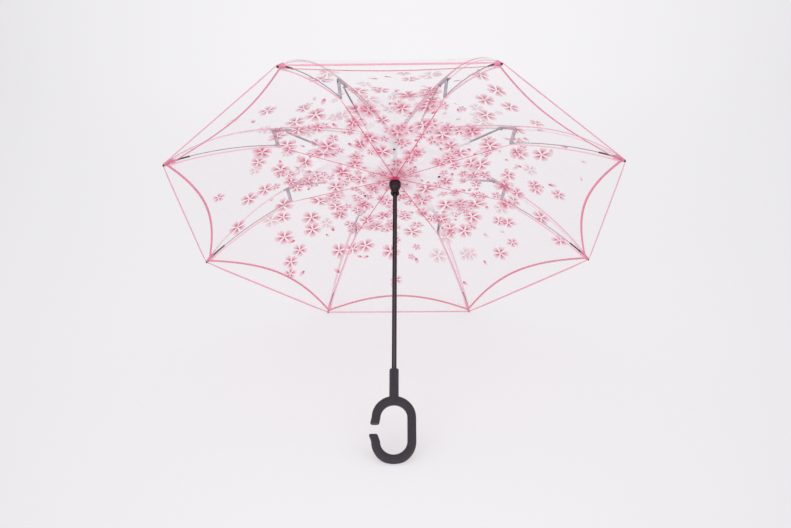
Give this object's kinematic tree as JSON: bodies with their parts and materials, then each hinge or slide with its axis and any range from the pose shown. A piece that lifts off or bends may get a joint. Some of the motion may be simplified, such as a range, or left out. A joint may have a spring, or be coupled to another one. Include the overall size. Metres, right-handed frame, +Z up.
{
  "type": "inverted umbrella",
  "caption": "Reverse-folding umbrella with two clear canopies on a folding rib frame, a sliding runner and a C-shaped handle that hangs on a forearm.",
  "frame": {"origin": "lowest point of the C-shaped handle, on the shaft's axis, under the middle of the open canopies", "axes": "+Z up the shaft towards the top cap, X across the C of the handle with its mouth at -X, Y along the handle's thickness"},
  "size_m": [0.9616, 0.9616, 0.818],
  "materials": {
    "soft_grip": "soft touch",
    "shaft_black": "gloss",
    "runner_black": "gloss",
    "bar_steel": "dark coating",
    "link_grey": "satin",
    "fibre_grey": "glass fibre",
    "moulding_black": "satin",
    "wire_steel": "bright",
    "clear_film": "clear film"
  },
  "bodies": {
    "frame": {"handle": "soft_grip", "shaft": "shaft_black", "top_notch": "moulding_black", "notch_wire": "wire_steel", "top_cap": "moulding_black", "stop_pin": "wire_steel", "outer_canopy": "clear_film", "inner_canopy": "clear_film"},
    "runner": {"runner": "runner_black", "runner_wire": "wire_steel"},
    "upper_catch": {"upper_catch": "wire_steel"},
    "lower_catch": {"lower_catch": "wire_steel"},
    "upper_bar_1": {"upper_bar_1": "bar_steel"},
    "lower_bar_1": {"lower_bar_1": "bar_steel"},
    "outer_rib_1": {"knee_link_1": "link_grey", "outer_rod_1": "fibre_grey", "lower_rod_1": "fibre_grey", "rib_tip_1": "moulding_black"},
    "upper_bar_2": {"upper_bar_2": "bar_steel"},
    "lower_bar_2": {"lower_bar_2": "bar_steel"},
    "outer_rib_2": {"knee_link_2": "link_grey", "outer_rod_2": "fibre_grey", "lower_rod_2": "fibre_grey", "rib_tip_2": "moulding_black"},
    "upper_bar_3": {"upper_bar_3": "bar_steel"},
    "lower_bar_3": {"lower_bar_3": "bar_steel"},
    "outer_rib_3": {"knee_link_3": "link_grey", "outer_rod_3": "fibre_grey", "lower_rod_3": "fibre_grey", "rib_tip_3": "moulding_black"},
    "upper_bar_4": {"upper_bar_4": "bar_steel"},
    "lower_bar_4": {"lower_bar_4": "bar_steel"},
    "outer_rib_4": {"knee_link_4": "link_grey", "outer_rod_4": "fibre_grey", "lower_rod_4": "fibre_grey", "rib_tip_4": "moulding_black"},
    "upper_bar_5": {"upper_bar_5": "bar_steel"},
    "lower_bar_5": {"lower_bar_5": "bar_steel"},
    "outer_rib_5": {"knee_link_5": "link_grey", "outer_rod_5": "fibre_grey", "lower_rod_5": "fibre_grey", "rib_tip_5": "moulding_black"},
    "upper_bar_6": {"upper_bar_6": "bar_steel"},
    "lower_bar_6": {"lower_bar_6": "bar_steel"},
    "outer_rib_6": {"knee_link_6": "link_grey", "outer_rod_6": "fibre_grey", "lower_rod_6": "fibre_grey", "rib_tip_6": "moulding_black"},
    "upper_bar_7": {"upper_bar_7": "bar_steel"},
    "lower_bar_7": {"lower_bar_7": "bar_steel"},
    "outer_rib_7": {"knee_link_7": "link_grey", "outer_rod_7": "fibre_grey", "lower_rod_7": "fibre_grey", "rib_tip_7": "moulding_black"},
    "upper_bar_8": {"upper_bar_8": "bar_steel"},
    "lower_bar_8": {"lower_bar_8": "bar_steel"},
    "outer_rib_8": {"knee_link_8": "link_grey", "outer_rod_8": "fibre_grey", "lower_rod_8": "fibre_grey", "rib_tip_8": "moulding_black"}
  },
  "joints": [
    {"name": "runner_slide", "type": "slide", "parent": "frame", "child": "runner", "axis": [0, 0, 1], "range_m": [-0.41, 0], "deforming": ["outer_canopy", "inner_canopy"]},
    {"name": "upper_catch_hinge", "type": "hinge", "parent": "frame", "child": "upper_catch", "pos_m": [0, 0, 0.6017], "axis": [1, 0, 0], "range_deg": [0, 4.2], "stiffness_Nm_per_rad": 0.02, "springref_deg": -2.86},
    {"name": "lower_catch_hinge", "type": "hinge", "parent": "frame", "child": "lower_catch", "pos_m": [0, 0, 0.2663], "axis": [1, 0, 0], "range_deg": [-4.2, 0], "stiffness_Nm_per_rad": 0.02, "springref_deg": 2.86},
    {"name": "upper_hinge_1", "type": "hinge", "parent": "frame", "child": "upper_bar_1", "pos_m": [0.01109, 0.00459, 0.795], "axis": [0.3827, -0.9239, 0], "range_deg": [-73.8, 0]},
    {"name": "lower_hinge_1", "type": "hinge", "parent": "runner", "child": "lower_bar_1", "pos_m": [0.01155, 0.00478, 0.69], "axis": [0.3827, -0.9239, 0], "range_deg": [0, 74]},
    {"name": "knee_hinge_1", "type": "hinge", "parent": "upper_bar_1", "child": "outer_rib_1", "pos_m": [0.27439, 0.11366, 0.733], "axis": [0.3827, -0.9239, 0], "range_deg": [0, 191.8]},
    {"name": "upper_hinge_2", "type": "hinge", "parent": "frame", "child": "upper_bar_2", "pos_m": [0.00459, 0.01109, 0.795], "axis": [0.9239, -0.3827, 0], "range_deg": [-73.8, 0]},
    {"name": "lower_hinge_2", "type": "hinge", "parent": "runner", "child": "lower_bar_2", "pos_m": [0.00478, 0.01155, 0.69], "axis": [0.9239, -0.3827, 0], "range_deg": [0, 74]},
    {"name": "knee_hinge_2", "type": "hinge", "parent": "upper_bar_2", "child": "outer_rib_2", "pos_m": [0.11366, 0.27439, 0.733], "axis": [0.9239, -0.3827, 0], "range_deg": [0, 191.8]},
    {"name": "upper_hinge_3", "type": "hinge", "parent": "frame", "child": "upper_bar_3", "pos_m": [-0.00459, 0.01109, 0.795], "axis": [0.9239, 0.3827, 0], "range_deg": [-73.8, 0]},
    {"name": "lower_hinge_3", "type": "hinge", "parent": "runner", "child": "lower_bar_3", "pos_m": [-0.00478, 0.01155, 0.69], "axis": [0.9239, 0.3827, 0], "range_deg": [0, 74]},
    {"name": "knee_hinge_3", "type": "hinge", "parent": "upper_bar_3", "child": "outer_rib_3", "pos_m": [-0.11366, 0.27439, 0.733], "axis": [0.9239, 0.3827, 0], "range_deg": [0, 191.8]},
    {"name": "upper_hinge_4", "type": "hinge", "parent": "frame", "child": "upper_bar_4", "pos_m": [-0.01109, 0.00459, 0.795], "axis": [0.3827, 0.9239, 0], "range_deg": [-73.8, 0]},
    {"name": "lower_hinge_4", "type": "hinge", "parent": "runner", "child": "lower_bar_4", "pos_m": [-0.01155, 0.00478, 0.69], "axis": [0.3827, 0.9239, 0], "range_deg": [0, 74]},
    {"name": "knee_hinge_4", "type": "hinge", "parent": "upper_bar_4", "child": "outer_rib_4", "pos_m": [-0.27439, 0.11366, 0.733], "axis": [0.3827, 0.9239, 0], "range_deg": [0, 191.8]},
    {"name": "upper_hinge_5", "type": "hinge", "parent": "frame", "child": "upper_bar_5", "pos_m": [-0.01109, -0.00459, 0.795], "axis": [-0.3827, 0.9239, 0], "range_deg": [-73.8, 0]},
    {"name": "lower_hinge_5", "type": "hinge", "parent": "runner", "child": "lower_bar_5", "pos_m": [-0.01155, -0.00478, 0.69], "axis": [-0.3827, 0.9239, 0], "range_deg": [0, 74]},
    {"name": "knee_hinge_5", "type": "hinge", "parent": "upper_bar_5", "child": "outer_rib_5", "pos_m": [-0.27439, -0.11366, 0.733], "axis": [-0.3827, 0.9239, 0], "range_deg": [0, 191.8]},
    {"name": "upper_hinge_6", "type": "hinge", "parent": "frame", "child": "upper_bar_6", "pos_m": [-0.00459, -0.01109, 0.795], "axis": [-0.9239, 0.3827, 0], "range_deg": [-73.8, 0]},
    {"name": "lower_hinge_6", "type": "hinge", "parent": "runner", "child": "lower_bar_6", "pos_m": [-0.00478, -0.01155, 0.69], "axis": [-0.9239, 0.3827, 0], "range_deg": [0, 74]},
    {"name": "knee_hinge_6", "type": "hinge", "parent": "upper_bar_6", "child": "outer_rib_6", "pos_m": [-0.11366, -0.27439, 0.733], "axis": [-0.9239, 0.3827, 0], "range_deg": [0, 191.8]},
    {"name": "upper_hinge_7", "type": "hinge", "parent": "frame", "child": "upper_bar_7", "pos_m": [0.00459, -0.01109, 0.795], "axis": [-0.9239, -0.3827, 0], "range_deg": [-73.8, 0]},
    {"name": "lower_hinge_7", "type": "hinge", "parent": "runner", "child": "lower_bar_7", "pos_m": [0.00478, -0.01155, 0.69], "axis": [-0.9239, -0.3827, 0], "range_deg": [0, 74]},
    {"name": "knee_hinge_7", "type": "hinge", "parent": "upper_bar_7", "child": "outer_rib_7", "pos_m": [0.11366, -0.27439, 0.733], "axis": [-0.9239, -0.3827, 0], "range_deg": [0, 191.8]},
    {"name": "upper_hinge_8", "type": "hinge", "parent": "frame", "child": "upper_bar_8", "pos_m": [0.01109, -0.00459, 0.795], "axis": [-0.3827, -0.9239, 0], "range_deg": [-73.8, 0]},
    {"name": "lower_hinge_8", "type": "hinge", "parent": "runner", "child": "lower_bar_8", "pos_m": [0.01155, -0.00478, 0.69], "axis": [-0.3827, -0.9239, 0], "range_deg": [0, 74]},
    {"name": "knee_hinge_8", "type": "hinge", "parent": "upper_bar_8", "child": "outer_rib_8", "pos_m": [0.27439, -0.11366, 0.733], "axis": [-0.3827, -0.9239, 0], "range_deg": [0, 191.8]}
  ],
  "couplings": [
    {"joint": "upper_hinge_1", "follows": "runner_slide", "rad_per_m": 3.1406},
    {"joint": "lower_hinge_1", "follows": "runner_slide", "rad_per_m": -3.1494},
    {"joint": "knee_hinge_1", "follows": "runner_slide", "rad_per_m": -8.1634},
    {"joint": "upper_hinge_2", "follows": "runner_slide", "rad_per_m": 3.1406},
    {"joint": "lower_hinge_2", "follows": "runner_slide", "rad_per_m": -3.1494},
    {"joint": "knee_hinge_2", "follows": "runner_slide", "rad_per_m": -8.1634},
    {"joint": "upper_hinge_3", "follows": "runner_slide", "rad_per_m": 3.1406},
    {"joint": "lower_hinge_3", "follows": "runner_slide", "rad_per_m": -3.1494},
    {"joint": "knee_hinge_3", "follows": "runner_slide", "rad_per_m": -8.1634},
    {"joint": "upper_hinge_4", "follows": "runner_slide", "rad_per_m": 3.1406},
    {"joint": "lower_hinge_4", "follows": "runner_slide", "rad_per_m": -3.1494},
    {"joint": "knee_hinge_4", "follows": "runner_slide", "rad_per_m": -8.1634},
    {"joint": "upper_hinge_5", "follows": "runner_slide", "rad_per_m": 3.1406},
    {"joint": "lower_hinge_5", "follows": "runner_slide", "rad_per_m": -3.1494},
    {"joint": "knee_hinge_5", "follows": "runner_slide", "rad_per_m": -8.1634},
    {"joint": "upper_hinge_6", "follows": "runner_slide", "rad_per_m": 3.1406},
    {"joint": "lower_hinge_6", "follows": "runner_slide", "rad_per_m": -3.1494},
    {"joint": "knee_hinge_6", "follows": "runner_slide", "rad_per_m": -8.1634},
    {"joint": "upper_hinge_7", "follows": "runner_slide", "rad_per_m": 3.1406},
    {"joint": "lower_hinge_7", "follows": "runner_slide", "rad_per_m": -3.1494},
    {"joint": "knee_hinge_7", "follows": "runner_slide", "rad_per_m": -8.1634},
    {"joint": "upper_hinge_8", "follows": "runner_slide", "rad_per_m": 3.1406},
    {"joint": "lower_hinge_8", "follows": "runner_slide", "rad_per_m": -3.1494},
    {"joint": "knee_hinge_8", "follows": "runner_slide", "rad_per_m": -8.1634}
  ]
}
